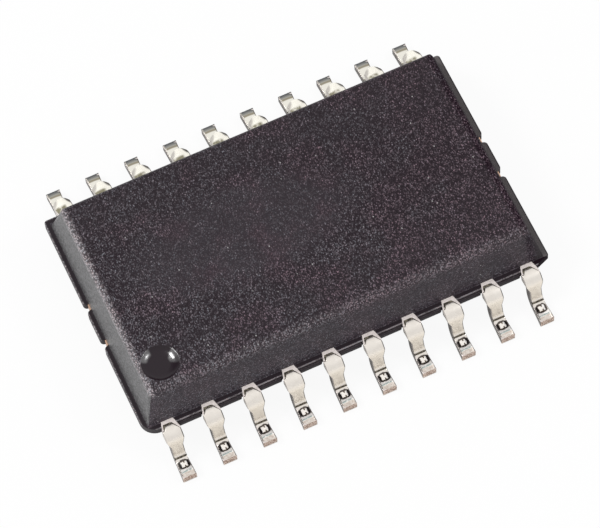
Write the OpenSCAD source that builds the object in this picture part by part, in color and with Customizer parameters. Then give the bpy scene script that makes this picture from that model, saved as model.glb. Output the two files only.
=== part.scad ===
// Twenty-lead transceiver chip in a wide small-outline package with gull-wing leads.
// Lengths are in millimetres. The seating plane is z = 0, pin one is at -X -Y, and +Z is up.
// Pins count along the -Y side towards +X, then back along the +Y side.

/* [Row of leads] */
// Leads on each long side
leads_per_side = 10; // [8:1:14]
// Distance between neighbouring leads
lead_pitch = 1.27; // [1.2:0.01:1.35]
// Distance from the last lead's centre line to the body's end
end_margin = 0.585; // [0.54:0.005:0.8]

/* [Body] */
// Width of the body at the foot of its drafted sides
body_width = 7.26; // [7:0.02:7.4]
// Height of the upper half above the leads
upper_height = 1.29; // [1:0.01:1.5]
// Height of the lower half below the leads
lower_height = 0.81; // [0.7:0.01:0.95]
// Gap between the seating plane and the underside of the body
standoff = 0.18; // [0.1:0.01:0.3]
// Draft of every side wall, in degrees
draft_angle = 14.5; // [5:0.5:18]
// Radius along the four slanted corners of each half
corner_radius = 0.15; // [0.05:0.01:0.25]
// Radius along the edges of the top and of the underside
edge_radius = 0.18; // [0.05:0.01:0.22]

/* [Flange] */
// Ledge of the flange along the two rows of leads
side_ledge = 0.16; // [0.08:0.01:0.22]
// Ledge of the flange at the two ends
end_ledge = 0.145; // [0.13:0.005:0.22]
// Corner radius of the flange beside pin one
pin_one_corner = 0.48; // [0.1:0.02:0.5]
// Corner radius of the flange at the two rear corners
rear_corner = 0.1; // [0.04:0.01:0.2]
// Length of the slanted cut beside the last lead of the front row
cut_length = 0.44; // [0.2:0.02:0.5]
// Depth of that slanted cut
cut_depth = 0.17; // [0.05:0.01:0.3]
// Radius of the flange's ends beside each tie bar
notch_radius = 0.12; // [0.04:0.01:0.13]

/* [Pin one mark] */
// Diameter of the dimple at its rim
dimple_diameter = 1.11; // [0.8:0.01:1.2]
// Diameter of the dimple's flat floor
dimple_floor = 0.55; // [0.3:0.01:0.75]
// Depth of the dimple
dimple_depth = 0.12; // [0.04:0.01:0.14]
// Distance of the dimple's centre from the end of the top face
dimple_from_end = 0.66; // [0.62:0.01:1.5]
// Distance of the dimple's centre from the front of the top face
dimple_from_side = 0.81; // [0.65:0.01:1.5]

/* [Leads] */
// Distance between the toes of opposite leads
lead_span = 10.2; // [10:0.05:10.6]
// Thickness of the lead frame
lead_thick = 0.29; // [0.23:0.01:0.32]
// Width of a lead where it leaves the body
root_width = 0.36; // [0.3:0.01:0.42]
// Width of a lead across the stubs of its trimmed dam bar
dam_width = 0.55; // [0.44:0.01:0.65]
// Width of a lead's leg
leg_width = 0.38; // [0.3:0.01:0.43]
// Width of a lead's toe
toe_width = 0.43; // [0.36:0.01:0.49]
// Flat length between the flange and the shoulder bend
shoulder_length = 0.06; // [0.02:0.01:0.12]
// Gap between the flange and the dam bar stubs
dam_gap = 0.15; // [0.1:0.01:0.2]
// Distance down the leg at which the dam bar stubs end
dam_end = 0.16; // [0.05:0.01:0.25]
// Length over which the dam bar stubs narrow to the leg
dam_fade = 0.26; // [0.15:0.01:0.35]
// Flat length of the foot
foot_length = 0.5; // [0.4:0.01:0.6]
// Inner radius of the shoulder bend
shoulder_radius = 0.12; // [0.08:0.01:0.18]
// Inner radius of the ankle bend
ankle_radius = 0.25; // [0.15:0.01:0.28]

/* [Inner fingers] */
// Distance between neighbouring finger tips
tip_pitch = 0.8; // [0.7:0.01:0.9]
// Width of a finger at its tip
tip_width = 0.3; // [0.24:0.01:0.36]
// Straight length of a finger's tip
tip_length = 0.32; // [0.28:0.01:0.45]
// Gap between the finger tips and the die pad
tip_gap = 0.25; // [0.15:0.01:0.4]
// Straight length of a lead inside the body, before it turns towards the die
straight_length = 0.33; // [0.2:0.01:0.5]

/* [Die pad] */
// Length of the die pad
pad_length = 6.6; // [5.5:0.1:8]
// Width of the die pad
pad_width = 3; // [2.6:0.1:3.3]
// Depth of the die pad below the level of the leads
pad_drop = 0.2; // [0.1:0.01:0.3]
// Width of a tie bar
tie_width = 0.18; // [0.12:0.01:0.25]
// Distance between the two tie bars at each end
tie_spacing = 1.27; // [1:0.01:1.6]
// Length of a trimmed tie bar outside the body
tie_stub = 0.03; // [0.01:0.005:0.08]
// Flat length between the pad and the step of a tie bar
step_start = 0.25; // [0.1:0.01:0.5]
// Length over which a tie bar steps down
step_run = 0.3; // [0.2:0.01:0.5]

/* [Die and wires] */
// Length of the die
die_length = 3.4; // [2.8:0.1:4.5]
// Width of the die
die_width = 2.2; // [1.8:0.1:2.3]
// Thickness of the die
die_thick = 0.3; // [0.2:0.01:0.4]
// Thickness of the die attach layer
attach_thick = 0.03; // [0.02:0.005:0.06]
// Width of the die attach fillet round the die
attach_margin = 0.1; // [0.05:0.01:0.15]
// Distance of the bond pads from the die's edges
bond_inset = 0.14; // [0.1:0.01:0.2]
// Diameter of a bond wire
wire_diameter = 0.034; // [0.025:0.001:0.04]
// Height of a wire's loop above the die
neck_height = 0.16; // [0.1:0.01:0.25]
// Diameter of the ball that bonds a wire to the die
ball_diameter = 0.08; // [0.06:0.005:0.12]
// Height of that ball
ball_height = 0.02; // [0.01:0.005:0.03]
// Diameter of the knee where a wire turns over
knee_diameter = 0.042; // [0.036:0.001:0.06]

/* [Clearances] */
// Gap between a tie bar and the flange beside it
notch_gap = 0.015; // [0.005:0.005:0.04]
// How far a cutting shape reaches past the surface that it cuts
overcut = 0.05; // [0.02:0.01:0.1]

/* [Hidden] */
pin_count = 2 * leads_per_side;

function two_digits(i) = str(i < 10 ? "0" : "", i);
function lead_name(i) = str("lead_", two_digits(i));
function wire_name(i) = str("bond_wire_", two_digits(i));

mold_colour = [0.25, 0.23, 0.24];
tin_colour = [0.87, 0.85, 0.8];
copper_colour = [0.72, 0.47, 0.33];
silicon_colour = [0.42, 0.43, 0.48];
gold_colour = [0.86, 0.7, 0.35];
adhesive_colour = [0.7, 0.7, 0.68];

$fn = 64;
wire_sides = 8;

// Levels of the package
lead_bottom = standoff + lower_height;
lead_top = lead_bottom + lead_thick;
body_top = lead_top + upper_height;
pad_top = lead_top - pad_drop;
pad_bottom = pad_top - lead_thick;
die_bottom = pad_top + attach_thick;
die_top = die_bottom + die_thick;

// Plan of the body
body_length = (leads_per_side - 1) * lead_pitch + 2 * end_margin;
top_length = body_length - 2 * upper_height * tan(draft_angle);
top_width = body_width - 2 * upper_height * tan(draft_angle);
flange_length = body_length + 2 * end_ledge;
flange_width = body_width + 2 * side_ledge;

// Side view of a lead, as distances outwards from the package's middle
toe_out = lead_span / 2;
ankle_out = toe_out - foot_length;
shoulder_out = flange_width / 2 + shoulder_length;
leg_run = ankle_out - shoulder_out;

// Inner radii of a lead's two bends, limited by the room between the flange and the foot
least_share = 0.1;
bend_share = max(least_share, min(1, (leg_run - lead_thick) / (shoulder_radius + ankle_radius)));
shoulder_bend = bend_share * shoulder_radius;
ankle_bend = bend_share * ankle_radius;
bend_sum = shoulder_bend + ankle_bend + lead_thick;
leg_lift = bend_sum - lead_bottom;
leg_length = sqrt(pow(leg_run, 2) + pow(leg_lift, 2) - pow(bend_sum, 2));
leg_angle = atan2(leg_run, leg_lift) - atan2(leg_length, bend_sum);

// How many times its own length the narrowing of the dam bar stubs is carried up over the shoulder
taper_reach = 4;

// Plan of a lead, as distances outwards from the package's middle
tip_out = pad_width / 2 + tip_gap;
tip_end = tip_out + tip_length;
turn_out = body_width / 2 - straight_length;
dam_from = flange_width / 2 + dam_gap;

// Bond pads and the places where the wires land on the fingers
bond_pitch = (die_length - 2 * bond_inset) / (leads_per_side - 1);
bond_out = die_width / 2 - bond_inset;
stitch_out = tip_out + tip_length / 2;

// Offset of a pin from the middle of its row, for a row of the given pitch
function row_offset(pin, pitch) = (pin - (leads_per_side + 1) / 2) * pitch;

// What a fillet leaves of a corner: half_angle lies between the corner's middle line and a side's normal.
// Taken away, it rounds an outer corner, and added, it fills an inner one.
module fillet_piece(radius, half_angle = 45) {
    reach = radius + overcut;
    difference() {
        polygon([
            [0, 0],
            reach * [cos(half_angle), -sin(half_angle)],
            [reach / cos(half_angle), 0],
            reach * [cos(half_angle), sin(half_angle)]]);
        circle(radius);
    }
}

// The same piece, set on a corner that points in the given direction
module corner_piece(corner, direction, radius, half_angle = 45) {
    translate(corner)
        rotate(direction)
            translate([-radius / cos(half_angle), 0])
                fillet_piece(radius, half_angle);
}

// Cross-section of one half of the body: drafted sides, with its two outer edges rounded
module half_section(span, height) {
    reach = span / 2 - height * tan(draft_angle);
    difference() {
        polygon([[-span / 2, 0], [span / 2, 0], [reach, height], [-reach, height]]);
        for (side = [0, 1])
            mirror([side, 0])
                corner_piece([reach, height], (90 + draft_angle) / 2, edge_radius, (90 - draft_angle) / 2);
    }
}

// One half of the body, standing on the parting plane, with rounded slanted corners
module body_half(height) {
    tilt = atan(sqrt(2) * tan(draft_angle));
    half_angle = acos(sqrt((1 + pow(sin(draft_angle), 2)) / 2));
    margin = 2 * corner_radius;
    difference() {
        intersection() {
            rotate([90, 0, 0])
                linear_extrude(flange_width, center = true)
                    half_section(body_length, height);
            rotate([90, 0, 90])
                linear_extrude(flange_length, center = true)
                    half_section(body_width, height);
        }
        for (x_side = [0, 1], y_side = [0, 1])
            mirror([x_side, 0, 0])
                mirror([0, y_side, 0])
                    translate([body_length / 2, body_width / 2, 0])
                        rotate([0, -tilt, 45])
                            translate([-corner_radius / cos(half_angle), 0, -margin])
                                linear_extrude(height / cos(tilt) + 2 * margin)
                                    fillet_piece(corner_radius, half_angle);
    }
}

// Gap in the end of the flange beside one tie bar, with the flange's ends rounded
module tie_notch() {
    half_gap = tie_width / 2 + notch_gap;
    translate([body_length / 2, -half_gap])
        square([end_ledge + overcut, 2 * half_gap]);
    for (side = [-1, 1])
        corner_piece([flange_length / 2, side * half_gap], -45 * side, notch_radius);
}

// Outline of the flange: a large radius by pin one, a slanted cut by the last front lead
module flange_outline() {
    end = flange_length / 2;
    side = flange_width / 2;
    difference() {
        square([flange_length, flange_width], center = true);
        corner_piece([-end, -side], 225, pin_one_corner);
        corner_piece([-end, side], 135, rear_corner);
        corner_piece([end, side], 45, rear_corner);
        polygon([[end - cut_length, -side], [end, cut_depth - side], [end + overcut, -side - overcut]]);
        for (turn = [0, 180], row = [-1, 1])
            rotate(turn)
                translate([0, row * tie_spacing / 2])
                    tie_notch();
    }
}

// Round dimple with a flat floor and a hollow wall, sunk into the plane z = 0
module dimple() {
    wall_run = (dimple_diameter - dimple_floor) / 2;
    wall_radius = (pow(wall_run, 2) + pow(dimple_depth, 2)) / (2 * dimple_depth);
    height = dimple_depth + overcut;
    rotate_extrude() {
        translate([0, -dimple_depth])
            square([dimple_floor / 2, height]);
        intersection() {
            translate([dimple_floor / 2, wall_radius - dimple_depth])
                circle(wall_radius);
            translate([dimple_floor / 2, -dimple_depth])
                square([wall_radius, height]);
        }
    }
}

// The moulded body, shaped round everything that it holds
module mold_body() {
    color(mold_colour)
        difference() {
            union() {
                translate([0, 0, lead_top])
                    body_half(upper_height);
                translate([0, 0, lead_bottom])
                    linear_extrude(lead_thick)
                        flange_outline();
                translate([0, 0, lead_bottom])
                    mirror([0, 0, 1])
                        body_half(lower_height);
            }
            translate([dimple_from_end - top_length / 2, dimple_from_side - top_width / 2, body_top])
                dimple();
            die_pad();
            die_attach();
            die();
            for (i = [1 : pin_count]) {
                lead(i);
                bond_wire(i);
            }
        }
}

// Corner of the strip's side view: the bend's centre, then the given distance along the bend's middle line
function bend_corner(centre, distance) =
    centre + distance / cos(leg_angle / 2) * [sin(leg_angle / 2), cos(leg_angle / 2)];

// Strip seen from the side: finger and shoulder, shoulder bend, leg, ankle bend and foot
module lead_section() {
    half = leg_angle / 2;
    shoulder = [shoulder_out, lead_bottom - shoulder_bend];
    ankle = [ankle_out, lead_thick + ankle_bend];
    shoulder_over = bend_corner(shoulder, shoulder_bend + lead_thick);
    shoulder_under = bend_corner(shoulder, shoulder_bend);
    ankle_over = bend_corner(ankle, -ankle_bend);
    ankle_under = bend_corner(ankle, -ankle_bend - lead_thick);
    difference() {
        union() {
            polygon([
                [tip_out, lead_bottom], shoulder_under, ankle_under, [toe_out, 0],
                [toe_out, lead_thick], ankle_over, shoulder_over, [tip_out, lead_top]]);
            corner_piece(shoulder_under, 90 - half, shoulder_bend, half);
            corner_piece(ankle_over, 270 - half, ankle_bend, half);
        }
        corner_piece(shoulder_over, 90 - half, shoulder_bend + lead_thick, half);
        corner_piece(ankle_under, 270 - half, ankle_bend + lead_thick, half);
    }
}

// Strip seen from above, through stations that each give a centre, a distance outwards and a width
module strip_outline(stations) {
    last = len(stations) - 1;
    left = [for (s = stations) [s[0] - s[2] / 2, -s[1]]];
    right = [for (k = [last : -1 : 0]) [stations[k][0] + stations[k][2] / 2, -stations[k][1]]];
    polygon(concat(left, right));
}

// Lead of the front row seen from above: the strip from its finger's tip to its toe
module lead_outline(pin) {
    centre = row_offset(pin, lead_pitch);
    tip = row_offset(pin, tip_pitch);
    strip_outline([
        [tip, tip_out, tip_width],
        [tip, tip_end, tip_width],
        [centre, turn_out, root_width],
        [centre, body_width / 2, root_width],
        [centre, ankle_out, leg_width],
        [centre, toe_out, toe_width]]);
}

// Dam bar stubs of a lead seen from above: they widen from inside the root
module stub_outline(pin) {
    centre = row_offset(pin, lead_pitch);
    strip_outline([
        [centre, turn_out, root_width / 2],
        [centre, dam_from, dam_width],
        [centre, ankle_out, dam_width]]);
}

// The same stubs seen square to the leg, on which they narrow until they are inside it
module stub_taper(pin) {
    outer_bend = shoulder_bend + lead_thick;
    narrowing = (dam_width - leg_width) / (2 * dam_fade);
    above = taper_reach * dam_fade;
    below = dam_fade / 2;
    top_half = leg_width / 2 + above * narrowing;
    low_half = leg_width / 2 - below * narrowing;
    translate([
        row_offset(pin, lead_pitch),
        -shoulder_out - outer_bend * sin(leg_angle),
        lead_bottom - shoulder_bend + outer_bend * cos(leg_angle)])
        rotate([leg_angle, 0, 0])
            translate([0, -dam_end, 0])
                linear_extrude(2 * lead_top, center = true)
                    polygon([[-low_half, -below], [low_half, -below], [top_half, above], [-top_half, above]]);
}

// One lead of the front row: the bent strip, trimmed to its outline and to its dam bar stubs
module front_lead(pin) {
    row_length = (leads_per_side + 1) * lead_pitch;
    intersection() {
        rotate([90, 0, -90])
            linear_extrude(row_length, center = true)
                lead_section();
        union() {
            translate([0, 0, -overcut])
                linear_extrude(lead_top + 2 * overcut)
                    lead_outline(pin);
            intersection() {
                linear_extrude(lead_top + 2 * overcut)
                    stub_outline(pin);
                stub_taper(pin);
            }
        }
    }
}

// Sets a piece made for the front row at its pin: the rear row is the front row turned round
module at_pin(i) {
    rotate(i > leads_per_side ? 180 : 0)
        children();
}

function front_pin(i) = i > leads_per_side ? i - leads_per_side : i;

module lead(i) {
    color(tin_colour)
        at_pin(i)
            front_lead(front_pin(i));
}

// Tie bar at one end, seen from the side: it steps down from the leads' level to the pad
module tie_bar_section() {
    pad_end = pad_length / 2;
    step_in = pad_end + step_start;
    step_out = step_in + step_run;
    bar_end = body_length / 2 + tie_stub;
    polygon([
        [0, pad_top], [step_in, pad_top], [step_out, lead_top], [bar_end, lead_top],
        [bar_end, lead_bottom], [step_out, lead_bottom], [step_in, pad_bottom], [0, pad_bottom]]);
}

// The die pad and its four tie bars, one stamped piece
module die_pad() {
    color(copper_colour)
        union() {
            translate([-pad_length / 2, -pad_width / 2, pad_bottom])
                cube([pad_length, pad_width, lead_thick]);
            for (turn = [0, 180], row = [-1, 1])
                rotate(turn)
                    translate([0, row * tie_spacing / 2, 0])
                        rotate([90, 0, 0])
                            linear_extrude(tie_width, center = true)
                                tie_bar_section();
        }
}

// The adhesive layer under the die
module die_attach() {
    length = die_length + 2 * attach_margin;
    width = die_width + 2 * attach_margin;
    color(adhesive_colour)
        translate([-length / 2, -width / 2, pad_top])
            cube([length, width, attach_thick]);
}

// The silicon die
module die() {
    color(silicon_colour)
        translate([-die_length / 2, -die_width / 2, die_bottom])
            cube([die_length, die_width, die_thick]);
}

// One wire of the front row: a ball on the die, a neck, a knee and a straight run down to its finger
module front_wire(pin) {
    start = [row_offset(pin, bond_pitch), -bond_out];
    way = [row_offset(pin, tip_pitch), -stitch_out] - start;
    run = norm(way);
    drop = neck_height + die_top - lead_top;
    slope = atan2(drop, run);
    tail = norm([run, drop]) + wire_diameter / tan(slope);
    difference() {
        translate([start[0], start[1], die_top])
            rotate(atan2(way[1], way[0])) {
                cylinder(d = ball_diameter, h = ball_height);
                cylinder(d = wire_diameter, h = neck_height, $fn = wire_sides);
                translate([0, 0, neck_height]) {
                    sphere(d = knee_diameter);
                    rotate([0, 90 + slope, 0])
                        cylinder(d = wire_diameter, h = tail, $fn = wire_sides);
                }
            }
        translate([row_offset(pin, tip_pitch) - tip_pitch / 2, -tip_out - 2 * tip_length, lead_bottom])
            cube([tip_pitch, 2 * tip_length, lead_thick]);
    }
}

module bond_wire(i) {
    color(gold_colour)
        at_pin(i)
            front_wire(front_pin(i));
}

mold_body();
die_pad();
die_attach();
die();
for (i = [1 : pin_count])
    lead(i);
for (i = [1 : pin_count])
    bond_wire(i);
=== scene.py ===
import math
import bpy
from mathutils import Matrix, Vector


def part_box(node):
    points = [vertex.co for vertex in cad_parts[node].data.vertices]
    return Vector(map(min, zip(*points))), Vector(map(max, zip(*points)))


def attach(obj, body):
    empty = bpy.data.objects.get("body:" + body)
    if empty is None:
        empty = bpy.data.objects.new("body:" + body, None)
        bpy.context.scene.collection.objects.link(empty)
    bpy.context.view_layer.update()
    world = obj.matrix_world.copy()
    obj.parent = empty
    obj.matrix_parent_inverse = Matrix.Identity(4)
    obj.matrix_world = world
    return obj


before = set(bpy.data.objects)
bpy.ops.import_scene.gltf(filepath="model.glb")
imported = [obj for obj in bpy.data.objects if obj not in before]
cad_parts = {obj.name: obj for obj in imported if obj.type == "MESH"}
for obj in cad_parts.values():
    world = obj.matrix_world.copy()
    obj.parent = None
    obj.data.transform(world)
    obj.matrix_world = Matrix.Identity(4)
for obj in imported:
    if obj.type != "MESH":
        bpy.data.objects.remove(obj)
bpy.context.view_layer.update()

from types import SimpleNamespace

import bpy
import numpy as np
from mathutils import Matrix, Vector

MM = 0.001


def corners(node):
    """Lowest and highest corner of a solid, in millimetres to four places."""
    return [[round(value / MM, 4) for value in corner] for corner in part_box(node)]


# Sizes of the chip, in millimetres, read from the solids
leads_per_side = sum(name.startswith("lead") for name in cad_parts) // 2
body_end, flange_out, body_top = corners("mold_body")[1]
first_low, first_high = corners("lead_01")
lead_pitch = corners("lead_02")[0][0] - first_low[0]
toe_out = -first_low[1]
lead_top = first_high[2]

# Sizes that no box shows, as the solids have them
lead_thick = 0.29
end_ledge = 0.145
side_ledge = 0.16
draft_angle = math.radians(14.5)
dimple_radius = 0.555
dimple_from_end = 0.66
dimple_from_side = 0.81
shoulder_length = 0.06
foot_length = 0.5
shoulder_radius = 0.12
ankle_radius = 0.25
wall_width = 0.371
stub_width = 0.55
stub_end = 0.16
stub_fade = 0.26
leg_width = 0.374
foot_width = 0.38
toe_width = 0.43

# What follows from these: places up from the board and out from the chip's middle
lead_bottom = lead_top - lead_thick
end_wall = body_end - end_ledge
body_wall = flange_out - side_ledge
shoulder_out = flange_out + shoulder_length
shoulder_outer_radius = shoulder_radius + lead_thick
ankle_out = toe_out - foot_length
top_inset = round((body_top - lead_top) * math.tan(draft_angle), 3)
dimple_centre = (top_inset + dimple_from_end - end_wall, top_inset + dimple_from_side - body_wall, body_top)

# Upper end of the tin on a front lead, in millimetres from the body's wall: level in the middle, a step
# down on the left of the lead's middle line, and a straight fall on the right
arch_start = 0.165
arch_left = -0.13
arch_step_length = 0.06
arch_step = 0.12
arch_right = 0.10
arch_fall = 1.46
arch_half_width = 0.25

# Tin coats, in millimetres: sunk into the lead, kept clear of its edges and turned over there
tin_sink = 0.006
tin_edge = 0.008
tin_edge_turn = 0.006
tin_rows = 140
tin_columns = 40
# On the legs: thickness, crown across and turn at the ends, and on the rear ones a blob over the bend
leg_tin = 0.034
leg_tin_crown = 0.15
leg_tin_end_turn = 0.05
rear_tin_from = 0.10
blob_at = 0.62
blob_half_length = 0.42
blob_height = 0.15
# On the feet: thickness in the ankle, crown across and turn at the ends, then the climb to a ridge after a
# soft start, and the fall from there to the toe
foot_tin = 0.030
foot_tin_crown = 1.3
foot_tin_crown_at = 0.05
foot_tin_end_turn = 0.012
foot_tin_lead_in = 0.06
foot_tin_ease = 0.12
foot_tin_climb = 0.14
foot_tin_fall = 0.46

# Flash between the leads, in millimetres
flash_reach = 0.075
flash_sink = 0.01
flash_half_length = 0.365
flash_middle = 1.10
flash_half_height = 0.105
flash_end_turn = 0.05
flash_squareness = 0.25
flash_rows = 32
flash_columns = 48


# Bent lead

def leg_angle_and_length():
    """Slope and length of the straight leg, which touches the shoulder's round and the ankle's round.

    The rounds lie on opposite sides of the leg. Its length is the root of the squared distance of their
    centres less the squared sum of their radii, and its slope is the angle of the line of centres from the
    upright less the angle whose tangent is the length over that sum."""
    across = ankle_out - shoulder_out
    round_sum = shoulder_outer_radius + ankle_radius
    upright = round_sum - lead_bottom
    length = math.sqrt(across ** 2 + upright ** 2 - round_sum ** 2)
    return math.atan2(across, upright) - math.atan2(length, round_sum), length


# Distances along the lead's upper face, in millimetres from the body's wall
leg_angle, leg_length = leg_angle_and_length()
shoulder_from = shoulder_out - body_wall
leg_from = shoulder_from + shoulder_outer_radius * leg_angle
ankle_from = leg_from + leg_length
foot_from = ankle_from + ankle_radius * leg_angle
toe_at = foot_from + toe_out - ankle_out
stub_from = 0.311
narrow_from = leg_from + stub_end
stub_to = narrow_from - stub_fade
# Along the same face, the gap in the tin at the ankle, its ridge on the foot and its end at the toe
neck_at = ankle_from + 0.194
neck_gap = 0.022
ridge_at = foot_from + 0.34
toe_tin_end = toe_at - 0.008


def along_lead(s):
    """Point and slope of the lead's upper face at the distance s from the body's wall.

    Flat, then a round of the shoulder's radius through the leg's angle, then the straight leg,
    then a hollow round of the ankle's radius back through the same angle, then the flat foot."""
    over = np.clip((s - shoulder_from) / shoulder_outer_radius, 0, leg_angle)
    leg = np.clip(s - leg_from, 0, leg_length)
    under = np.clip((s - ankle_from) / ankle_radius, 0, leg_angle)
    out = (body_wall + np.minimum(s, shoulder_from)
           + shoulder_outer_radius * np.sin(over)
           + leg * math.cos(leg_angle)
           + ankle_radius * (math.sin(leg_angle) - np.sin(leg_angle - under))
           + np.maximum(s - foot_from, 0))
    height = (lead_top
              - shoulder_outer_radius * (1 - np.cos(over))
              - leg * math.sin(leg_angle)
              - ankle_radius * (np.cos(leg_angle - under) - math.cos(leg_angle)))
    return out, height, over - under


def strip_width(s):
    """Width of the lead's strip at the distance s: straight lines between the wall, both ends of the stubs
    of the cut dam bar, the leg, the foot and the toe."""
    return np.interp(s, [0, stub_from, stub_to, narrow_from, foot_from, toe_at],
                     [wall_width, stub_width, stub_width, leg_width, foot_width, toe_width])


def rounded(distance, radius):
    """Height, from 0 to 1, of a quarter round that rises over the radius from an edge and then is level."""
    near = np.clip(distance / radius, 0, 1)
    return np.sqrt(1 - (1 - near) ** 2)


def shell(name, upper, lower, material):
    """Closes two grids of points of the same size into one shell: the upper grid faces out, the lower
    grid faces the other way, and strips of faces join them round the rim."""
    rows, columns = upper.shape[:2]
    near = np.arange(rows * columns).reshape(rows, columns)
    far = near + rows * columns

    def squares(a, b, c, d):
        return np.stack([a, b, c, d], -1).reshape(-1, 4)

    faces = np.concatenate([
        squares(near[:-1, :-1], near[1:, :-1], near[1:, 1:], near[:-1, 1:]),
        squares(far[:-1, :-1], far[:-1, 1:], far[1:, 1:], far[1:, :-1]),
        squares(near[0, :-1], near[0, 1:], far[0, 1:], far[0, :-1]),
        squares(near[-1, 1:], near[-1, :-1], far[-1, :-1], far[-1, 1:]),
        squares(near[1:, 0], near[:-1, 0], far[:-1, 0], far[1:, 0]),
        squares(near[:-1, -1], near[1:, -1], far[1:, -1], far[:-1, -1])])
    points = np.concatenate([upper.reshape(-1, 3), lower.reshape(-1, 3)]) * MM
    mesh = bpy.data.meshes.new(name)
    mesh.vertices.add(len(points))
    mesh.vertices.foreach_set("co", points.ravel())
    mesh.loops.add(faces.size)
    mesh.loops.foreach_set("vertex_index", faces.ravel())
    mesh.polygons.add(len(faces))
    mesh.polygons.foreach_set("loop_start", np.arange(0, faces.size, 4))
    mesh.polygons.foreach_set("use_smooth", np.ones(len(faces), dtype=bool))
    mesh.update(calc_edges=True)
    mesh.validate()
    mesh.materials.append(material)
    piece = bpy.data.objects.new(name, mesh)
    bpy.context.scene.collection.objects.link(piece)
    return piece


def set_in_row(points, place, rear):
    """Points of a piece of the front row moved along it to a place, and for the rear row then turned half
    round about the upright axis."""
    turn = -1.0 if rear else 1.0
    return (points + np.array([place, 0.0, 0.0])) * np.array([turn, turn, 1.0])


# Finishes

class Finish:
    """A material or world made of nodes: each call adds one node, or a short row of them, and gives back
    its output."""

    def __init__(self, name, world=False):
        kind = bpy.data.worlds if world else bpy.data.materials
        self.holder = kind.new(name)
        self.holder.use_nodes = True
        self.tree = self.holder.node_tree
        self.tree.nodes.clear()

    def feed(self, socket, value):
        """Links another node's output to the socket, or sets a number or a colour on it."""
        if isinstance(value, bpy.types.NodeSocket):
            self.tree.links.new(value, socket)
        else:
            socket.default_value = value

    def node(self, kind, inputs=None, **settings):
        """One node with these settings and inputs."""
        made = self.tree.nodes.new(kind)
        for key, value in settings.items():
            setattr(made, key, value)
        for key, value in (inputs or {}).items():
            self.feed(made.inputs[key], value)
        return made

    def math(self, operation, a, b=0.0, c=0.0):
        """One step of arithmetic on numbers."""
        return self.node("ShaderNodeMath", {0: a, 1: b, 2: c}, operation=operation).outputs[0]

    def vector(self, operation, a, b=(0.0, 0.0, 0.0), result="Vector"):
        """One step of arithmetic on vectors, whose result is a vector or a value."""
        return self.node("ShaderNodeVectorMath", {0: a, 1: b}, operation=operation).outputs[result]

    def row(self, operation, values):
        """The same step of arithmetic from the first value through to the last."""
        result = values[0]
        for value in values[1:]:
            result = self.math(operation, result, value)
        return result

    def times(self, *values):
        return self.row("MULTIPLY", values)

    def plus(self, *values):
        return self.row("ADD", values)

    def most(self, *values):
        return self.row("MAXIMUM", values)

    def less(self, a, b):
        return self.math("SUBTRACT", a, b)

    def power(self, value, exponent):
        return self.math("POWER", value, exponent)

    def unsigned(self, value):
        return self.math("ABSOLUTE", value)

    def ramp(self, value, low, high, to_low, to_high, interpolation="LINEAR"):
        """From to_low, where the value is at low, to to_high, where it is at high, and level beyond."""
        inputs = {"Value": value, "From Min": low, "From Max": high, "To Min": to_low, "To Max": to_high}
        return self.node("ShaderNodeMapRange", inputs, interpolation_type=interpolation).outputs["Result"]

    def fade(self, value, low, high, to_low=0.0, to_high=1.0):
        """A ramp that starts and ends softly."""
        return self.ramp(value, low, high, to_low, to_high, "SMOOTHSTEP")

    def band(self, value, rise, fall):
        """Share that fades in over the first pair of values and out over the second."""
        return self.times(self.fade(value, *rise), self.fade(value, *fall))

    def between(self, share, without, within):
        """A value that is the first where the share is 0, and the second where it is 1."""
        return self.fade(share, 0.0, 1.0, without, within)

    def apart(self, share):
        """What a share leaves over: 1 where it is 0, and 0 where it is 1."""
        return self.between(share, 1.0, 0.0)

    def mix(self, share, a, b):
        """Colour a where the share is 0, colour b where it is 1."""
        return self.node("ShaderNodeMix", {0: share, 6: a, 7: b}, data_type="RGBA").outputs[2]

    def coats(self, ground, *coats):
        """The ground's colour under coats of other colours, each laid on by its own share."""
        tone = ground
        for share, paint in coats:
            tone = self.mix(share, tone, paint)
        return tone

    def place(self):
        """Object coordinates in millimetres."""
        where = self.node("ShaderNodeTexCoord").outputs["Object"]
        inputs = {0: where, "Scale": 1.0 / MM}
        return self.node("ShaderNodeVectorMath", inputs, operation="SCALE").outputs[0]

    def xyz(self, vector):
        """The three parts of a vector or of a random colour."""
        return self.node("ShaderNodeSeparateXYZ", {0: vector}).outputs

    def facing(self):
        """The three parts of the direction that the surface faces in."""
        return self.xyz(self.node("ShaderNodeTexCoord").outputs["Normal"])

    def noise(self, vector, scale, detail=3.0, roughness=0.55):
        """Cloudy pattern from 0 to 1 with so many lumps to the millimetre."""
        inputs = {"Vector": vector, "Scale": scale, "Detail": detail, "Roughness": roughness}
        return self.node("ShaderNodeTexNoise", inputs).outputs[0]

    def grains(self, vector, scale):
        """Cells, so many to the millimetre: the distance from the cell's middle and its random colour."""
        made = self.node("ShaderNodeTexVoronoi", {"Vector": vector, "Scale": scale})
        return made.outputs["Distance"], made.outputs["Color"]

    def bump(self, height, distance, strength=1.0, under=None):
        """Relief of the given height on the surface or on another relief."""
        inputs = {"Height": height, "Distance": distance, "Strength": strength}
        if under is not None:
            inputs["Normal"] = under
        return self.node("ShaderNodeBump", inputs).outputs[0]

    def soft_edges(self, radius):
        """Edges that catch the light as if they were rounded."""
        return self.node("ShaderNodeBevel", {"Radius": radius}, samples=6).outputs[0]

    def surface(self, plain_ior=1.5, **sockets):
        """The shader with these sockets; plain_ior is what stays where a linked IOR is dropped."""
        names = {"colour": "Base Color", "rough": "Roughness", "metal": "Metallic", "normal": "Normal",
                 "ior": "IOR"}
        shader = self.node("ShaderNodeBsdfPrincipled", {"IOR": plain_ior})
        for key, value in sockets.items():
            self.feed(shader.inputs[names[key]], value)
        return self.closed("ShaderNodeOutputMaterial", shader)

    def closed(self, kind, last):
        """The finished material or world, with its last node joined to the output."""
        self.node(kind, {0: last.outputs[0]})
        return self.holder


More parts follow.
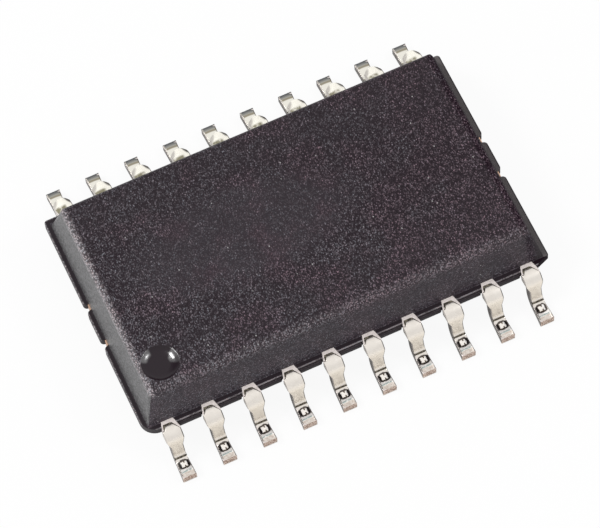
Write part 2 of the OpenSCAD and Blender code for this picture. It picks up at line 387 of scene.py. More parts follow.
def colour(r, g, b):
    """Colour as a socket takes it."""
    return (r, g, b, 1.0)


# Moulding compound

# Where the body's look changes, in millimetres. A pair is the start and the end of a soft step over x, y, z
# or the distance out from the middle line, and two pairs are the two sides of a band.
upper_edge_z = (body_top - 0.21, body_top - 0.07)
long_slope_z = (body_top, body_top - 0.29)
front_brow_z = (body_top - 0.67, body_top - 0.12)
above_flange_z = (lead_top + 0.01, lead_top + 0.05)
flange_top_z = (lead_top - 0.08, lead_top - 0.01)
flange_rim_z = (lead_top - 0.09, lead_top - 0.02)
front_rim_z = (lead_top - 0.08, lead_top - 0.03)
lower_half_z = (lead_bottom - 0.02, lead_bottom - 0.09)
left_to_right_x = (-5.5, 5.5)
reddening_x = (-1.5, 4.5)
left_edge_x = (-5.74, -5.95)
left_slope_x = (-5.9, -6.0)
left_end_x = (-6.2, -6.4)
left_ledge_x = (-end_wall + 0.02, -end_wall - 0.02)
left_rim_x = (-body_end + 0.05, -body_end + 0.015)
right_edge_x = (5.72, 5.88)
right_brow_x = (5.86, 5.97)
right_slope_x = (5.90, 6.18)
right_foot_x = (6.15, 6.25)
right_ledge_x = ((end_wall - 0.02, end_wall), (body_end - 0.02, body_end - 0.045))
front_to_rear_y = (-3.2, 3.2)
rear_half_y = (-0.5, 0.5)
front_brow_y = (-2.6, -3.25)
front_edge_y = (-2.95, -3.2)
front_rim_y = (-flange_out + 0.025, -flange_out + 0.015)
off_middle_out = (0.8, 2.6)
long_slope_out = (3.12, 3.42)
slope_foot_out = (3.3, 3.65)
side_ledge_out = (body_wall + 0.01, body_wall + 0.03)
side_rim_out = (flange_out - 0.04, flange_out - 0.015)

# The dimple: soft steps over the distance from its centre, and the directions of its polished flanks
dimple_rim = (dimple_radius - 0.01, dimple_radius + 0.03)
dimple_wall = (0.27, 0.32)
dimple_brow = (0.37, 0.44)
right_flank_way = (0.995, 0.10, 0.0)
left_flank_way = (-0.643, 0.766, 0.0)

# The filler: grains to the millimetre, their slant and stretch, and the calm oval's middle and half sizes
grains_per_mm = 30.0
grain_slant = (0.0, 0.0, math.radians(-25))
grain_stretch = (1.0, 0.66, 1.0)
calm_middle = (-1.5, 0.3)
calm_half = (3.5, 1.6)


def dimple_shares(f, p):
    """Share of the surface that lies outside the dimple, and of the two polished flanks of its wall.

    They follow the distance from the dimple's centre, and a flank is where the direction from that centre
    lies close to the flank's own."""
    distance = f.vector("DISTANCE", p, dimple_centre, "Value")
    around = f.vector("NORMALIZE", f.vector("SUBTRACT", p, dimple_centre))
    outside = f.fade(distance, *dimple_rim)
    wall = f.times(f.fade(distance, *dimple_wall), f.apart(outside))
    right_flank = f.fade(f.vector("DOT_PRODUCT", around, right_flank_way, "Value"), 0.86, 0.94)
    left_flank = f.fade(f.vector("DOT_PRODUCT", around, left_flank_way, "Value"), 0.88, 0.95)
    upper_left = f.times(left_flank, f.fade(distance, *dimple_brow))
    return outside, f.times(wall, f.most(right_flank, upper_left))


def mould_shares(f):
    """Place on the body in millimetres, and the shares of its surface that more than one look depends on.

    Each share is a product of soft steps over the place. Grain shows on the upper half, but not on the left
    end's slope, in the dimple or on the flange's ledges, and more faintly on the lower half. The left ledge
    is kept bare of grain so that it stays dark, as painted shade."""
    p = f.place()
    x, y, z = f.xyz(p)
    out = f.unsigned(y)
    facing_x, facing_y = f.facing()[:2]
    endways = f.fade(f.less(f.unsigned(facing_x), f.unsigned(facing_y)), -0.1, 0.15)
    outside, polished = dimple_shares(f, p)
    left_slope = f.times(f.fade(x, *left_slope_x), f.fade(z, *above_flange_z), endways)
    long_slope = f.times(f.fade(out, *long_slope_out), f.fade(z, *long_slope_z))
    left_upper_edge = f.times(f.fade(x, *left_edge_x), f.fade(z, *upper_edge_z))
    # the left ledge is kept out of the grain so that it stays dark: painted shade
    left_end = f.most(left_slope, f.fade(x, *left_ledge_x))
    rear_right = f.times(f.fade(x, *right_foot_x), f.fade(y, *rear_half_y))
    off_ledge = f.most(f.fade(out, *side_ledge_out, 1.0, 0.0), rear_right)
    upper_half = f.times(f.apart(left_end), f.fade(z, *flange_top_z), outside, off_ledge)
    grainy = f.most(upper_half, f.fade(z, *lower_half_z, 0.0, 0.7))
    return SimpleNamespace(p=p, x=x, y=y, z=z, out=out, outside=outside, polished=polished,
                           left_slope=left_slope, long_slope=long_slope, left_upper_edge=left_upper_edge, grainy=grainy)


def mould_filler(f, at):
    """Grains of pale filler: cells drawn out along a slant, each with random numbers for its lot and its hue.

    The dot in a cell's middle is paler by the square of its lot, and the last few lots are paler still; the
    rarest lots hold a painted glint. The grain is calmer, and even, in an oval left of the middle and on the
    long slopes, and over random patches it is painted brighter towards the front and the left, as painted
    light."""
    turned = {"Vector": at.p, "Rotation": grain_slant, "Scale": grain_stretch}
    cell, random = f.grains(f.node("ShaderNodeMapping", turned).outputs[0], grains_per_mm)
    lot, hue, chance = f.xyz(random)
    dots = f.fade(cell, 0.75, 0.25)
    speck = f.plus(f.times(f.power(lot, 2.0), 0.85), f.fade(lot, 0.95, 0.985, 0.0, 0.8))
    off_x = f.math("DIVIDE", f.less(at.x, calm_middle[0]), calm_half[0])
    off_y = f.math("DIVIDE", f.less(at.y, calm_middle[1]), calm_half[1])
    oval = f.plus(f.times(off_x, off_x), f.times(off_y, off_y))
    calm = f.most(f.fade(oval, 1.5, 0.3, 0.0, 0.48), f.times(at.long_slope, 0.42))
    # random patches, with painted light: the grain brighter towards the front and the left
    patch = f.times(f.fade(f.noise(at.p, 0.8), 0.3, 0.7, 0.83, 1.08),
                    f.fade(at.y, *front_to_rear_y, 1.03, 0.80), f.fade(at.x, *left_to_right_x, 1.14, 0.86))
    lively = f.times(speck, dots, f.apart(calm))
    grain = f.times(f.plus(lively, f.times(calm, 0.165)), patch)
    # painted highlight: a rare pale glint in a few cells
    painted_glint = f.times(f.fade(chance, 0.9993, 0.9996), dots)
    return SimpleNamespace(cell=cell, lot=lot, hue=hue, dots=dots, calm=calm, grain=grain, painted_glint=painted_glint)


def mould_edge_highlight(f, at, filler):
    """Share of painted highlight on the edges: speckled along the upper edges of the left end and the front
    and along the flange's rim, and in a broken line on the flange's front."""
    front_upper_edge = f.times(f.fade(at.y, *front_edge_y), f.fade(at.z, *upper_edge_z))
    upper_edge = f.times(f.most(at.left_upper_edge, f.times(front_upper_edge, 0.2)), at.outside)
    rim = f.most(f.fade(at.x, *left_rim_x), f.fade(at.out, *side_rim_out))
    flange_rim = f.times(rim, f.fade(at.z, *flange_rim_z), f.fade(at.x, *left_end_x, 0.6, 0.9))
    speckled = f.fade(f.times(filler.lot, filler.dots), -0.25, 0.9)
    front_line = f.times(f.fade(at.y, *front_rim_y), f.fade(at.z, *front_rim_z),
                         f.fade(f.noise(at.p, 3.0, 2.0), 0.35, 0.65, 0.15, 0.6))
    return f.most(f.times(f.most(upper_edge, flange_rim), speckled), front_line)


def mould_tone(f, at, filler):
    """Colour: dark ground with grain that drifts between redder and greyer and is brighter by the front edge
    and the flange; a plain right end whose ledge is painted lighter, as painted light; a mottled left slope
    painted far paler than the same compound on the top, as painted light; and painted edge highlights over
    all."""
    dark = colour(0.009, 0.003, 0.007)
    redder = f.mix(filler.hue, colour(0.205, 0.126, 0.156), colour(0.163, 0.124, 0.157))
    greyer = f.mix(filler.hue, colour(0.170, 0.138, 0.160), colour(0.130, 0.136, 0.158))
    drift = f.plus(f.noise(at.p, 0.7, 2.0), f.fade(at.x, *reddening_x, -0.06, 0.10))
    red_share = f.times(f.fade(drift, 0.40, 0.60), f.between(at.long_slope, 1.0, 0.35))
    front_brow = f.times(f.fade(at.y, *front_brow_y), f.fade(at.z, *front_brow_z))
    grain_lift = f.plus(f.between(front_brow, 1.0, 1.30), f.fade(at.out, *slope_foot_out, 0.0, 0.8))
    # painted light: the right end's ledge is given a lighter grey
    lit_right_ledge = f.band(at.x, *right_ledge_x)
    plain = f.mix(lit_right_ledge, colour(0.042, 0.038, 0.040), colour(0.13, 0.12, 0.12))
    grained = f.coats(dark, (f.times(filler.grain, grain_lift), f.mix(red_share, greyer, redder)),
                      (filler.painted_glint, colour(0.36, 0.35, 0.35)),
                      (f.fade(at.x, *right_slope_x, 0.0, 0.8), plain))
    # painted light: the left slope is given a far paler colour than the same compound on the top
    mottle = f.fade(f.plus(f.noise(at.p, 22.0), f.times(filler.lot, 0.35)), 0.35, 0.95)
    slope = f.mix(mottle, colour(0.018, 0.018, 0.019), colour(0.150, 0.147, 0.152))
    # painted highlight: pale speckles on the upper edges, the flange's rim and the flange's front
    edge_highlight_tone = f.mix(filler.hue, colour(0.50, 0.41, 0.42), colour(0.41, 0.41, 0.44))
    return f.coats(dark, (at.grainy, grained), (at.left_slope, slope), (mould_edge_highlight(f, at, filler), edge_highlight_tone))


def mould_roughness(f, at):
    """Satin, smoother on the left slope, smoothest in the dimple, and matt on the right end."""
    return f.plus(f.between(at.left_slope, 0.46, 0.38), f.between(at.outside, -0.26, 0.0),
                  f.times(at.polished, 0.03), f.fade(at.x, *right_brow_x, 0.0, 0.4))


def mould_relief(f, at, filler):
    """Fine tooth of noise and filler, strongest where the grain shows and on the left end's upper edge."""
    fine = f.plus(f.noise(at.p, 28.0, 3.0, 0.6), f.times(filler.cell, 0.5))
    tooth = f.most(at.grainy, at.left_upper_edge, f.times(at.left_slope, 0.4))
    return f.bump(fine, 0.012 * MM, f.between(tooth, 0.06, 0.8), f.soft_edges(0.035 * MM))


def mould_gloss(f, at, filler):
    """Refractive index: higher and mottled on the left slope, highest on the dimple's polished flanks, lower
    on the right end, and varied from grain to grain."""
    mottle = f.times(at.left_slope, f.fade(f.noise(at.p, 24.0), 0.35, 0.68, -0.10, 0.14))
    matt = f.fade(at.x, *right_edge_x, 0.0, -0.19)
    grit = f.times(f.fade(f.times(filler.lot, filler.dots), 0.0, 0.8, -0.085, 0.13), at.grainy,
                   f.apart(filler.calm), f.fade(at.out, *off_middle_out, 1.0, 0.55))
    return f.plus(f.between(at.left_slope, 1.40, 1.62), mottle, f.between(at.outside, 0.03, 0.0),
                  f.times(at.polished, 0.9), matt, grit)


def mould_finish():
    """Dark moulding compound: dense fine grain of pale filler on the top and the long sides, a smoother and
    shinier left slope painted paler as painted light, a matt right end, pale edges that are painted
    highlights, and a smooth dimple."""
    f = Finish("mould_compound")
    at = mould_shares(f)
    filler = mould_filler(f, at)
    return f.surface(plain_ior=1.4, colour=mould_tone(f, at, filler), rough=mould_roughness(f, at),
                     normal=mould_relief(f, at, filler), ior=mould_gloss(f, at, filler))


# Leads and tin

# Where the leads' look changes, in millimetres. A pair is the start and the end of a soft step over y, z, the
# distance out from the chip's middle line or the distance across from the lead's own, and two pairs are the
# two sides of a band. The painted shade on the right edge is measured in from the tin's right edge. The
# widening is a ramp.
front_half_y = (0.5, -0.5)
root_out = (3.78, 3.9)
shoulder_z = (1.0, 1.1)
sheared_z = (0.88, 1.02)
burr_z = (0.02, 0.05)
toe_end_out = (toe_out - 0.012, toe_out - 0.004)
shaded_rear_end_y = (toe_out - 0.04, toe_out - 0.025)
ankle_gap_out = ((4.41, 4.43), (4.51, 4.49))
ankle_gap_z = ((0.26, 0.29), (0.45, 0.42))
leg_z = ((0.40, 0.43), (1.20, 0.98))
bend_z = (0.45, 0.6)
foot_z = (0.50, 0.44)
foot_edge_across = (0.170, 0.182)
front_toe_out = (4.955, 4.975)
front_line_y = ((-4.915, -4.927), (-4.967, -4.955))
front_line_across = (0.15, 0.11)
reflected_pale_band_y = ((-4.80, -4.86), (-4.985, -4.96))
rear_line_y = ((4.84, 4.875), (4.93, 4.91))
shaded_rear_toe_out = (4.905, 4.925)
rear_shade_out = (4.93, 5.07)
rear_bend_shade_y = (4.05, 3.97)
rear_bend_shade_across = (0.12, 0.02)
light_edge_z = (0.9, 1.0)
light_edge_across = (0.0, -0.1)
shaded_right_edge_z = (0.44, 0.5)
shaded_right_edge_within = (0.030, 0.014)
widening_z = (0.803, 1.054)

# The painted dark reflection beside the arch of a front lead's tin: its widths left and right of a soft step,
# how far its own step lies from the tin's, its soft edge, and where it stops short of the strip's left edge
arch_reflection_left_width = 0.065
arch_reflection_right_width = 0.035
arch_reflection_width_across = (0.02, 0.14)
arch_reflection_step_shift = 0.03
arch_reflection_edge = (0.0, 0.012)
arch_reflection_stop_across = (-0.215, -0.195)

# The painted reflection on a front foot: a dark ring, its white patch, and the dark line that parts the patch
# at both ends
reflected_ring_y = -4.705
reflected_ring_half_width = 0.160
reflected_ring_half_length = 0.155
reflected_ring_power = 3.0
reflected_ring_edge = (1.15, 0.85)
reflected_ring_wobble = 0.06
reflected_patch_across = (0.100, 0.080)
reflected_patch_along = (0.102, 0.080)
reflected_parting_at = 0.02
reflected_parting_across = (0.030, 0.012)
reflected_parting_along = (0.025, 0.055)


def right_of_middle(f, x):
    """How far a point lies to the right of its lead's middle line: x wrapped into one pitch."""
    half_pitch = lead_pitch / 2
    return f.math("WRAP", f.plus(x, half_pitch), -half_pitch, half_pitch)


def dark_reflection_share(f, p):
    """Share of painted dark reflection on the bare strip.

    On the front leads it starts at a line just before the tin's arch and of the same form, so that a dark rim
    shows beside the tin, painted in place of the dark body mirrored there. On every lead it fills the gap in
    the tin at the ankle with the painted dark line of a reflection."""
    x, y, z = f.xyz(p)
    out = f.unsigned(y)
    across = right_of_middle(f, x)
    step_from = arch_left - arch_reflection_step_shift
    left_arm = f.fade(across, step_from, step_from - arch_step_length, 0.0, arch_step)
    right_arm = f.times(f.most(f.less(across, arch_right), 0.0), arch_fall)
    tin_out = body_wall + arch_start
    middle = f.fade(across, *arch_reflection_width_across, tin_out - arch_reflection_left_width, tin_out - arch_reflection_right_width)
    below_line = f.fade(f.less(out, f.plus(left_arm, right_arm, middle)), *arch_reflection_edge)
    arch = f.times(below_line, f.fade(z, *shoulder_z), f.fade(y, *front_half_y),
                   f.fade(across, *arch_reflection_stop_across))
    ankle = f.times(f.band(out, *ankle_gap_out), f.band(z, *ankle_gap_z))
    return f.most(arch, ankle)


def lead_finish():
    """Bare strip under the tin: satin, a little pink from the copper; on the rough sheared sides painted
    shade up to the shoulder and painted light above; a painted dark reflection by the tin and in the ankle's
    gap; and toe ends of raw copper, with the tips of the rear ones darkened as painted shade."""
    f = Finish("plated_strip")
    p = f.place()
    y, z = f.xyz(p)[1:]
    out = f.unsigned(y)
    side = f.fade(f.unsigned(f.facing()[0]), 0.6, 0.8)
    mottle = f.noise(p, 14.0, 4.0)
    plated = f.mix(mottle, colour(0.72, 0.64, 0.61), colour(0.94, 0.87, 0.84))
    # the rough sheared sides, with painted shade up to the shoulder and painted light above
    sheared_and_shaded = f.mix(f.noise(p, 30.0), colour(0.05, 0.045, 0.04), colour(0.24, 0.21, 0.18))
    sheared_and_shaded = f.mix(f.fade(z, *sheared_z), sheared_and_shaded, colour(0.80, 0.76, 0.70))
    streak = f.fade(f.noise(p, 24.0, 4.0), 0.42, 0.58)
    raw = f.mix(streak, colour(0.30, 0.19, 0.14), colour(0.68, 0.56, 0.48))
    toe_end = f.mix(f.fade(z, *burr_z), colour(0.8, 0.75, 0.70), raw)
    blotch = f.fade(f.noise(p, 15.0, 2.0), 0.45, 0.6)
    # painted dark reflection, blotched, beside the tin's arch and in the ankle's gap
    dark_reflection_tone = f.mix(blotch, colour(0.020, 0.015, 0.008), colour(0.15, 0.13, 0.09))
    dark_reflection_on_strip = f.times(dark_reflection_share(f, p), f.apart(side))
    # painted shade: the tips of the rear toes darkened
    tone = f.coats(plated, (side, sheared_and_shaded), (f.fade(out, *toe_end_out), toe_end),
                   (f.fade(y, *shaded_rear_end_y), colour(0.10, 0.10, 0.095)), (dark_reflection_on_strip, dark_reflection_tone))
    rough = f.plus(f.fade(mottle, 0.3, 0.7, 0.26, 0.40), f.times(dark_reflection_on_strip, 0.2))
    metal = f.times(f.apart(dark_reflection_on_strip), f.fade(out, *root_out, 0.25, 1.0))
    normal = f.bump(f.noise(p, 30.0), 0.004 * MM, 0.5, f.soft_edges(0.02 * MM))
    return f.surface(colour=tone, rough=rough, metal=metal, normal=normal)


def foot_reflection_shares(f, p, across):
    """Share of a front foot within the outside of the painted dark ring, and of the painted white patch
    inside
    it: both are a painted reflection in the foot's tin.

    The outside is an oval of the third power, moved a little by noise. The patch is a soft rectangle, parted
    by a narrow dark line at both ends."""
    y, z = f.xyz(p)[1:]
    wobble = f.times(f.less(f.noise(p, 12.0, 2.0), 0.5), reflected_ring_wobble)
    along = f.unsigned(f.plus(f.less(y, reflected_ring_y), wobble))
    wide = f.plus(f.unsigned(across), wobble)
    oval = f.plus(f.power(f.math("DIVIDE", wide, reflected_ring_half_width), reflected_ring_power),
                  f.power(f.math("DIVIDE", along, reflected_ring_half_length), reflected_ring_power))
    outer = f.times(f.fade(oval, *reflected_ring_edge), f.fade(z, *foot_z))
    rectangle = f.times(f.fade(wide, *reflected_patch_across), f.fade(along, *reflected_patch_along))
    from_parting = f.unsigned(f.less(across, reflected_parting_at))
    parting = f.times(f.fade(from_parting, *reflected_parting_across), f.fade(along, *reflected_parting_along))
    return outer, f.times(rectangle, f.apart(parting), outer)


def tin_shares(f):
    """Place on the tin in millimetres, and the shares of it that more than one look depends on."""
    p = f.place()
    x, y, z = f.xyz(p)
    out = f.unsigned(y)
    across = right_of_middle(f, x)
    rear = f.fade(y, *rear_half_y)
    side = f.fade(f.unsigned(f.facing()[0]), 0.3, 0.55)
    foot_edge = f.times(f.fade(f.unsigned(across), *foot_edge_across), f.fade(z, *foot_z))
    # the painted reflection on the front feet: its dark ring and its white patch
    reflected_ring_outer, white = foot_reflection_shares(f, p, across)
    # painted reflection: a pale band on the front foot before the toe, outside the dark ring
    reflected_pale_band = f.times(f.band(y, *reflected_pale_band_y), f.apart(reflected_ring_outer))
    return SimpleNamespace(p=p, y=y, z=z, out=out, across=across, rear=rear, mottle=f.noise(p, 7.0, 4.0),
                           dull=f.most(side, foot_edge), toe=f.fade(out, *front_toe_out),
                           leg=f.band(z, *leg_z), rear_bend=f.times(rear, f.fade(z, *bend_z)),
                           reflected_pale_band=reflected_pale_band, ring=f.less(reflected_ring_outer, white), white=white)


def tin_tone(f, at):
    """Colour of the tin in coats: a bright ground, painted paler at the rear as painted light; a brown
    painted shade on the rear bends; the warmer leg; a pale band before the pinker front toe, a painted
    reflection; the rear toe greyed as painted shade; a line across each foot before its toe; dull sheared
    sides with painted shade and a painted light edge; the painted reflection of a dark ring and its white
    patch; a right edge darkened as painted shade."""
    bright = f.mix(at.mottle, colour(0.86, 0.80, 0.73), colour(0.94, 0.89, 0.83))
    warm = f.mix(at.mottle, colour(0.77, 0.70, 0.605), colour(0.93, 0.855, 0.745))
    blush = f.fade(f.noise(at.p, 15.0, 4.0), 0.35, 0.65)
    pinker = f.mix(blush, colour(0.66, 0.57, 0.50), colour(0.87, 0.80, 0.73))
    # painted shade: the rear toe greyed, darker towards its end
    grey = f.mix(f.fade(at.out, *rear_shade_out), colour(0.45, 0.44, 0.40), colour(0.16, 0.165, 0.17))
    # the dull sides: painted shade, darker still at the rear, with a painted light edge on the lead's left,
    # at the rear and high up on the front
    painted_light_edge = f.times(f.fade(at.across, *light_edge_across), f.most(at.rear, f.fade(at.z, *light_edge_z)))
    sheared_and_shaded = f.coats(colour(0.26, 0.24, 0.22), (at.rear, colour(0.07, 0.06, 0.05)),
                      (painted_light_edge, colour(0.60, 0.57, 0.52)))
    # painted shade: a brown shading on the left of the rear bends near the body
    rear_bend_shade = f.times(f.fade(at.y, *rear_bend_shade_y), at.rear_bend, f.fade(at.across, *rear_bend_shade_across),
                    f.fade(f.noise(at.p, 7.0, 2.0), 0.30, 0.55, 0.25, 0.9))
    shaded_rear_toe = f.times(at.rear, f.fade(at.out, *shaded_rear_toe_out))
    rear_line = f.times(f.band(at.y, *rear_line_y), 0.8)
    front_line = f.times(f.band(at.y, *front_line_y), f.fade(at.across, *front_line_across),
                         f.fade(f.noise(at.p, 16.0, 2.0), 0.36, 0.46, 0.2, 0.9))
    # painted shade: a dark line along the tin's right edge above the foot
    half_width = f.ramp(at.z, *widening_z, leg_width / 2 - tin_edge, stub_width / 2 - tin_edge)
    shaded_right_edge = f.times(f.fade(f.less(half_width, at.across), *shaded_right_edge_within), f.fade(at.z, *shaded_right_edge_z))
    # painted light: the ground is paler on the rear leads
    return f.coats(bright, (at.rear, colour(0.97, 0.94, 0.85)), (rear_bend_shade, colour(0.19, 0.17, 0.09)),
                   (at.leg, warm), (f.times(at.reflected_pale_band, 0.7), colour(0.98, 0.96, 0.94)), (at.toe, pinker),
                   (shaded_rear_toe, grey), (front_line, colour(0.30, 0.38, 0.36)),
                   (rear_line, colour(0.22, 0.18, 0.105)), (at.dull, sheared_and_shaded),
                   # painted reflection: the dark ring and its white patch on the front feet
                   (f.times(at.ring, 0.9), colour(0.035, 0.022, 0.020)),
                   (f.times(at.white, 0.8), colour(0.98, 0.97, 0.96)),
                   (f.times(shaded_right_edge, 0.85), colour(0.05, 0.045, 0.04)))


def tin_finish(name, smoothest, roughest, ripple):
    """Warm tin with a slight mottle between the two roughnesses and ripples of the given height.

    It is rougher on its sheared sides, the rear bends and the toe, and less of a metal on the leg, the rear
    bends, the pale band and the white patch, the last two being painted reflections."""
    f = Finish(name)
    at = tin_shares(f)
    rough = f.plus(f.fade(at.mottle, 0.3, 0.7, smoothest, roughest),
                   f.times(f.most(at.dull, at.rear_bend), 0.3), f.times(at.toe, 0.15))
    bend_loss = f.most(f.times(at.leg, 0.5), f.times(at.rear_bend, 0.7))
    metal = f.less(1.0, f.plus(bend_loss, f.times(f.most(at.white, at.reflected_pale_band), 0.6)))
    normal = f.bump(f.noise(at.p, 9.0), ripple * MM, 0.3)
    return f.surface(colour=tin_tone(f, at), rough=rough, metal=metal, normal=normal)


# Inside of the chip

def copper_finish():
    """Stamped copper strip, seen at the cut ends of the tie bars."""
    f = Finish("stamped_copper")
    p = f.place()
    tone = f.mix(f.noise(p, 20.0, 4.0), colour(0.62, 0.36, 0.24), colour(0.90, 0.66, 0.50))
    return f.surface(colour=tone, rough=0.4, metal=1.0, normal=f.bump(f.noise(p, 40.0), 0.004 * MM, 0.5))


def adhesive_finish():
    """Silver-filled die glue: grey with fine flakes."""
    f = Finish("die_glue")
    cell, random = f.grains(f.place(), 40.0)
    tone = f.mix(f.xyz(random)[0], colour(0.25, 0.25, 0.26), colour(0.55, 0.55, 0.56))
    return f.surface(colour=tone, rough=0.5, metal=0.6, normal=f.bump(cell, 0.004 * MM, 0.5))


def silicon_finish():
    """Polished silicon: dark blue-grey with a faint thin-film mottle."""
    f = Finish("silicon")
    mottle = f.noise(f.place(), 3.0, 4.0)
    tone = f.mix(mottle, colour(0.05, 0.06, 0.09), colour(0.13, 0.12, 0.16))
    return f.surface(colour=tone, rough=f.fade(mottle, 0.3, 0.7, 0.08, 0.16), metal=0.5)


def gold_finish():
    """Drawn gold wire with fine wear."""
    f = Finish("drawn_gold")
    wear = f.noise(f.place(), 60.0)
    tone = f.mix(wear, colour(0.80, 0.52, 0.16), colour(0.95, 0.70, 0.30))
    return f.surface(colour=tone, rough=f.fade(wear, 0.3, 0.7, 0.18, 0.3), metal=1.0)


mould_compound = mould_finish()
node_finish = {"mold_body": mould_compound, "die_pad": copper_finish(), "die_attach": adhesive_finish(),
               "die": silicon_finish()}
lead_metal = lead_finish()
wire_gold = gold_finish()
for name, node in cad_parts.items():
    finish = node_finish.get(name) or (lead_metal if name.startswith("lead") else wire_gold)
    node.data.materials.clear()
    node.data.materials.append(finish)

# Tin on the leads

satin_tin = tin_finish("satin_tin", smoothest=0.27, roughest=0.34, ripple=0.002)
run_tin = tin_finish("run_tin", smoothest=0.05, roughest=0.08, ripple=0.006)
tin_across = np.sin(np.linspace(-math.pi / 2, math.pi / 2, tin_columns))


def tin_face(begin, end, thick, crown, crown_at, end_turn):
    """Points of a tin coat's outer and inner face on a front lead at x = 0, in millimetres.

    Rows follow the lead from the distance begin, which may differ across the strip, to end; columns go
    across it, closer together near the edges. The outer face stands over the lead by the thickness less a
    parabola across whose top lies at crown_at, times a quarter round at both ends and both edges; the inner
    face is sunk evenly into the lead."""
    begin = np.broadcast_to(begin, tin_columns)
    end = np.broadcast_to(end, tin_columns)
    along = (1 - np.cos(np.linspace(0, math.pi, tin_rows))) / 2
    s = begin + (end - begin) * along[:, None]
    half = strip_width(s) / 2 - tin_edge
    x = tin_across * half
    stand = ((thick(s) - crown * (x - crown_at) ** 2 / 2)
             * rounded(half - np.abs(x), tin_edge_turn)
             * rounded(s - begin, end_turn) * rounded(end - s, end_turn))
    out, height, slope = along_lead(s)

    def face(level):
        return np.stack([x, -(out + level * np.sin(slope)), height + level * np.cos(slope)], -1)

    return face(stand), face(np.full_like(s, -tin_sink))


def root_arch():
    """Upper end of the tin on a front lead: level in the middle, an S-shaped step (three squares less two
    cubes) on the left, a straight fall on the right."""
    x = tin_across * arch_half_width
    near = np.clip((arch_left - x) / arch_step_length, 0, 1)
    step = arch_step * (3 * near ** 2 - 2 * near ** 3)
    return arch_start + step + arch_fall * np.maximum(x - arch_right, 0)


def front_leg_thick(s):
    """The same all along the leg."""
    return np.full_like(s, leg_tin)


def rear_leg_thick(s):
    """Even, with a low blob over the shoulder's bend: a squared cosine along the strip times a parabola
    across it."""
    along = np.clip((s - blob_at) / blob_half_length, -1, 1)
    return leg_tin + blob_height * np.cos(along * math.pi / 2) ** 2 * (1 - tin_across ** 2)


def foot_thick(s):
    """Thin in the ankle, then after a soft start, a parabola, growing evenly to a low ridge, so that the
    face leans back, and from there falling evenly to the toe."""
    run = np.clip(np.minimum(s, ridge_at) - foot_from + foot_tin_lead_in, 0, None)
    eased = np.where(run < foot_tin_ease, run ** 2 / (2 * foot_tin_ease), run - foot_tin_ease / 2)
    return foot_tin + foot_tin_climb * eased - foot_tin_fall * np.maximum(s - ridge_at, 0)


front_leg_face = tin_face(root_arch(), neck_at - neck_gap, front_leg_thick, leg_tin_crown, 0.0,
                          leg_tin_end_turn)
rear_leg_face = tin_face(rear_tin_from, neck_at - neck_gap, rear_leg_thick, leg_tin_crown, 0.0,
                         leg_tin_end_turn)
foot_face = tin_face(neck_at + neck_gap, toe_tin_end, foot_thick, foot_tin_crown, foot_tin_crown_at,
                     foot_tin_end_turn)
for pin in range(1, 2 * leads_per_side + 1):
    rear = pin > leads_per_side
    place = ((pin - 1) % leads_per_side - (leads_per_side - 1) / 2) * lead_pitch
    leg_face = rear_leg_face if rear else front_leg_face
    for part, faces, finish in (("leg", leg_face, satin_tin), ("foot", foot_face, run_tin)):
        outer, inner = (set_in_row(face, place, rear) for face in faces)
        coat = shell("tin_%s_%02d" % (part, pin), outer, inner, finish)
        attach(coat, "root")

# Flash between the leads

def flash_face():
    """Points of the outer and inner face of the thin flash in one gap of the front row, in millimetres.

    Rows go over the bead from its upper to its lower edge, columns along the gap. The bead stands out of the
    flange's edge by its reach, times a squarish half round (a low power of the sine) over its height and a
    quarter round at both ends; the inner face lies just inside the flange."""
    along = np.sin(np.linspace(-math.pi / 2, math.pi / 2, flash_columns))[None, :] * flash_half_length
    turn = np.linspace(0, math.pi, flash_rows)[:, None]
    bulge = np.sin(turn) ** flash_squareness * rounded(flash_half_length - np.abs(along), flash_end_turn)
    x = along + 0 * turn
    z = flash_middle + flash_half_height * np.cos(turn) + 0 * along

    def face(level):
        return np.stack([x, -(flange_out - flash_sink + level), z], -1)

    return face(flash_reach * bulge + flash_sink), face(0 * bulge)


flash_faces = flash_face()
gaps_per_side = leads_per_side - 1
for gap in range(2 * gaps_per_side):
    place = (gap % gaps_per_side - (gaps_per_side - 1) / 2) * lead_pitch
    outer, inner = (set_in_row(face, place, gap >= gaps_per_side) for face in flash_faces)
    bead = shell("flash_%02d" % (gap + 1), outer, inner, mould_compound)
    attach(bead, "root")

# Stage and light

def floor_finish():
    """Matt white card with a faint tooth. What the camera sees of it is lifted most of the way to white,
    and what shines back from the chip a little, so that the shadow stays but is light."""
    f = Finish("white_card")
    tone = f.mix(f.noise(f.place(), 0.8), colour(0.80, 0.80, 0.80), colour(0.84, 0.84, 0.84))
    card = f.node("ShaderNodeBsdfDiffuse", {"Color": tone})
    glow = f.node("ShaderNodeEmission", {"Color": colour(1, 1, 1), "Strength": 1.0})
    path = f.node("ShaderNodeLightPath").outputs
    seen = f.times(path["Is Camera Ray"], 0.92)
    shine = f.times(f.plus(path["Is Glossy Ray"], path["Is Transmission Ray"]), 0.2)
    lifted = {0: f.plus(seen, shine), 1: card.outputs[0], 2: glow.outputs[0]}
    return f.closed("ShaderNodeOutputMaterial", f.node("ShaderNodeMixShader", lifted))


card_half = 1.0
card = bpy.data.meshes.new("floor_card")
card.from_pydata([(-card_half, -card_half, 0), (card_half, -card_half, 0), (card_half, card_half, 0),
                  (-card_half, card_half, 0)], [], [(0, 1, 2, 3)])
card.materials.append(floor_finish())
floor = bpy.data.objects.new("floor_card", card)
bpy.context.scene.collection.objects.link(floor)


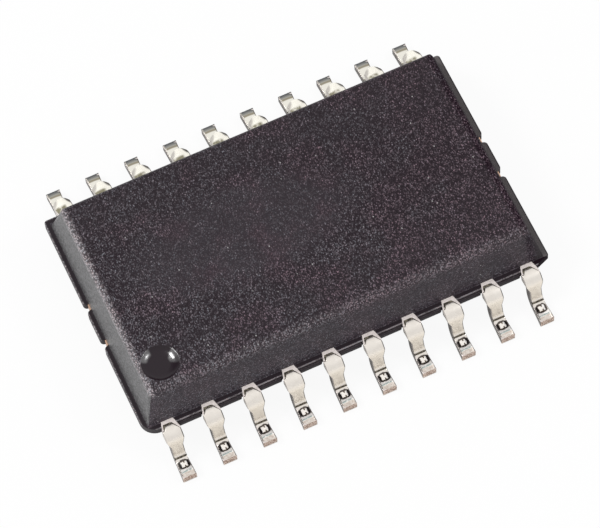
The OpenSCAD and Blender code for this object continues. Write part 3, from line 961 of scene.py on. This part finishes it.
def tent():
    """White tent all round, brightest overhead, darker behind on the left and greyer low down behind."""
    f = Finish("tent", world=True)
    look = f.node("ShaderNodeTexCoord").outputs["Generated"]
    y, z = f.xyz(look)[1:]
    dark = f.fade(f.vector("DOT_PRODUCT", look, (-0.55, 0.60, 0.58), "Value"), 0.80, 0.97)
    low_behind = f.times(f.fade(y, 0.3, 0.7), f.fade(z, 0.31, 0.23))
    strength = f.plus(f.fade(z, 0.5, 0.95, 0.80, 0.86), f.times(dark, -0.5), f.times(low_behind, -0.12))
    glow = f.node("ShaderNodeBackground", {"Color": colour(1, 1, 1), "Strength": f.most(strength, 0.12)})
    return f.closed("ShaderNodeOutputWorld", glow)


bpy.context.scene.world = tent()


def soft_box(name, where, wide, high, power):
    """Rectangular lamp at a place in metres, turned to shine at the chip."""
    lamp = bpy.data.lights.new(name, "AREA")
    lamp.shape = "RECTANGLE"
    lamp.size = wide
    lamp.size_y = high
    lamp.energy = power
    box = bpy.data.objects.new(name, lamp)
    box.location = where
    box.rotation_euler = (-Vector(where)).to_track_quat("-Z", "Y").to_euler()
    bpy.context.scene.collection.objects.link(box)


soft_box("left_box", where=(-0.14, 0.045, 0.20), wide=0.09, high=0.07, power=0.25)
soft_box("right_box", where=(0.15, -0.075, 0.185), wide=0.04, high=0.04, power=0.07)

# The camera stands in front, a little to the left and well above, and is turned a little about its sight line
camera_azimuth = math.radians(-19.269)
camera_elevation = math.radians(63.563)
camera_roll = math.radians(-5.853)
camera_distance = 107.197 * MM
image_width = 600.0
image_height = 528.0
focal_pixels = 3620.08
origin_pixel = (297.551, 259.439)

back = Vector((math.sin(camera_azimuth) * math.cos(camera_elevation),
               -math.cos(camera_azimuth) * math.cos(camera_elevation), math.sin(camera_elevation)))
level = Vector((math.cos(camera_azimuth), math.sin(camera_azimuth), 0.0))
rise = back.cross(level)
right = level * math.cos(camera_roll) + rise * math.sin(camera_roll)
up = rise * math.cos(camera_roll) - level * math.sin(camera_roll)
turned = Matrix((right, up, back)).transposed().to_4x4()
turned.translation = back * camera_distance
lens = bpy.data.cameras.new("camera")
lens.sensor_width = 36.0
lens.lens = lens.sensor_width * focal_pixels / image_width
lens.shift_x = (image_width / 2 - origin_pixel[0]) / image_width
lens.shift_y = (origin_pixel[1] - image_height / 2) / image_width
lens.clip_start = 0.001
lens.clip_end = 10.0
camera = bpy.data.objects.new("camera", lens)
camera.matrix_world = turned
bpy.context.scene.collection.objects.link(camera)
bpy.context.scene.camera = camera
bpy.context.scene.view_settings.view_transform = "Standard"
